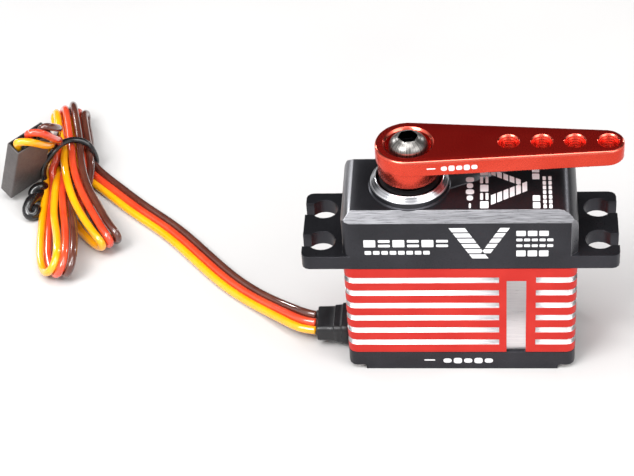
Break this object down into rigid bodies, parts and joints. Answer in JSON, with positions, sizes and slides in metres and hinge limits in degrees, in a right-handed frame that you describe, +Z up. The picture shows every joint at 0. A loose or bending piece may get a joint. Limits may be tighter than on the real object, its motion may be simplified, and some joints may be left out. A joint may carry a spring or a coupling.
{
  "type": "hobby servo motor",
  "caption": "Small metal-cased hobby servo with a grooved middle case, slotted mounting lugs, a long output arm, and a folded three-wire lead ending in a flat plug",
  "frame": {"origin": "centre of the case's bottom face", "axes": "+X along the case, from the end where the lead leaves to the end the horn points to; +Y across the case, away from the open side of the view; +Z up along the output axis"},
  "size_m": [0.1061, 0.0661, 0.0406],
  "materials": {
    "bearing_steel": "ground steel",
    "black_anodised": "black anodised, fine bead blast, bright diamond-cut edges",
    "black_plastic": "moulded",
    "black_rubber": "moulded rubber",
    "board_laminate": "glass-fibre board with solder mask",
    "brass": "machined",
    "brown_insulation": "glossy wire insulation",
    "capacitor_sleeve": "sleeved can",
    "chip_epoxy": "moulded epoxy",
    "contact_metal": "stamped and plated",
    "copper": null,
    "gear_steel": "cut steel",
    "hardened_steel": "ground steel",
    "horn_red": "red anodised, with bright machined edges",
    "magnet": null,
    "mixed_insulation": "three wires of glossy insulation, brown, red and yellow",
    "motor_steel": "drawn steel can",
    "plug_plastic": "moulded",
    "red_anodised": "red anodised, with bare machined grooves",
    "red_insulation": "glossy wire insulation",
    "screw_steel": "bare machined steel",
    "tie_coating": "plastic-coated wire",
    "yellow_insulation": "glossy wire insulation"
  },
  "bodies": {
    "case": {"bearing_lower": "bearing_steel", "bearing_upper": "bearing_steel", "board_capacitor": "capacitor_sleeve", "bottom_cover": "black_anodised", "case_screw_left_front": "screw_steel", "case_screw_left_rear": "screw_steel", "case_screw_right_front": "screw_steel", "case_screw_right_rear": "screw_steel", "circuit_board": "board_laminate", "controller_chip": "chip_epoxy", "driver_chip_1": "chip_epoxy", "driver_chip_2": "chip_epoxy", "grommet": "black_rubber", "idler_pin_1": "hardened_steel", "idler_pin_2": "hardened_steel", "lead_hank": "mixed_insulation", "lead_tail": "mixed_insulation", "lead_tie": "tie_coating", "middle_case": "red_anodised", "motor_can": "motor_steel", "motor_end_cap": "black_plastic", "motor_front_bushing": "brass", "motor_magnet": "magnet", "motor_rear_bushing": "brass", "motor_screw_front": "screw_steel", "motor_screw_rear": "screw_steel", "motor_terminal_front": "copper", "motor_terminal_rear": "copper", "plug_contact_ground": "contact_metal", "plug_contact_power": "contact_metal", "plug_contact_signal": "contact_metal", "plug_housing": "plug_plastic", "potentiometer_body": "black_plastic", "potentiometer_lead_1": "copper", "potentiometer_lead_2": "copper", "potentiometer_lead_3": "copper", "top_case": "black_anodised", "wire_ground": "brown_insulation", "wire_ground_inner": "brown_insulation", "wire_power": "red_insulation", "wire_power_inner": "red_insulation", "wire_signal": "yellow_insulation", "wire_signal_inner": "yellow_insulation"},
    "output": {"output_shaft_gear": "gear_steel", "horn": "horn_red", "horn_screw": "screw_steel", "potentiometer_shaft": "brass"},
    "third_gear": {"gear_3": "gear_steel"},
    "second_gear": {"gear_2": "gear_steel"},
    "first_gear": {"gear_1": "brass"},
    "rotor": {"motor_shaft": "hardened_steel", "motor_winding": "copper", "motor_commutator": "copper", "motor_pinion": "brass"}
  },
  "joints": [
    {"name": "output_turn", "type": "hinge", "parent": "case", "child": "output", "pos_m": [-0.0075, 0, 0], "axis": [0, 0, 1], "range_deg": [-60, 60]},
    {"name": "third_gear_turn", "type": "hinge", "parent": "case", "child": "third_gear", "pos_m": [0.0005, 0, 0], "axis": [0, 0, 1], "continuous": true},
    {"name": "second_gear_turn", "type": "hinge", "parent": "case", "child": "second_gear", "pos_m": [0.00601, -0.0018, 0], "axis": [0, 0, 1], "continuous": true},
    {"name": "first_gear_turn", "type": "hinge", "parent": "case", "child": "first_gear", "pos_m": [0.0005, 0, 0], "axis": [0, 0, 1], "continuous": true},
    {"name": "motor_turn", "type": "hinge", "parent": "case", "child": "rotor", "pos_m": [0.0063, 0, 0], "axis": [0, 0, 1], "continuous": true}
  ],
  "couplings": [
    {"joint": "third_gear_turn", "follows": "output_turn", "ratio": -3},
    {"joint": "second_gear_turn", "follows": "output_turn", "ratio": 9},
    {"joint": "first_gear_turn", "follows": "output_turn", "ratio": -32.4},
    {"joint": "motor_turn", "follows": "output_turn", "ratio": 176.4}
  ]
}
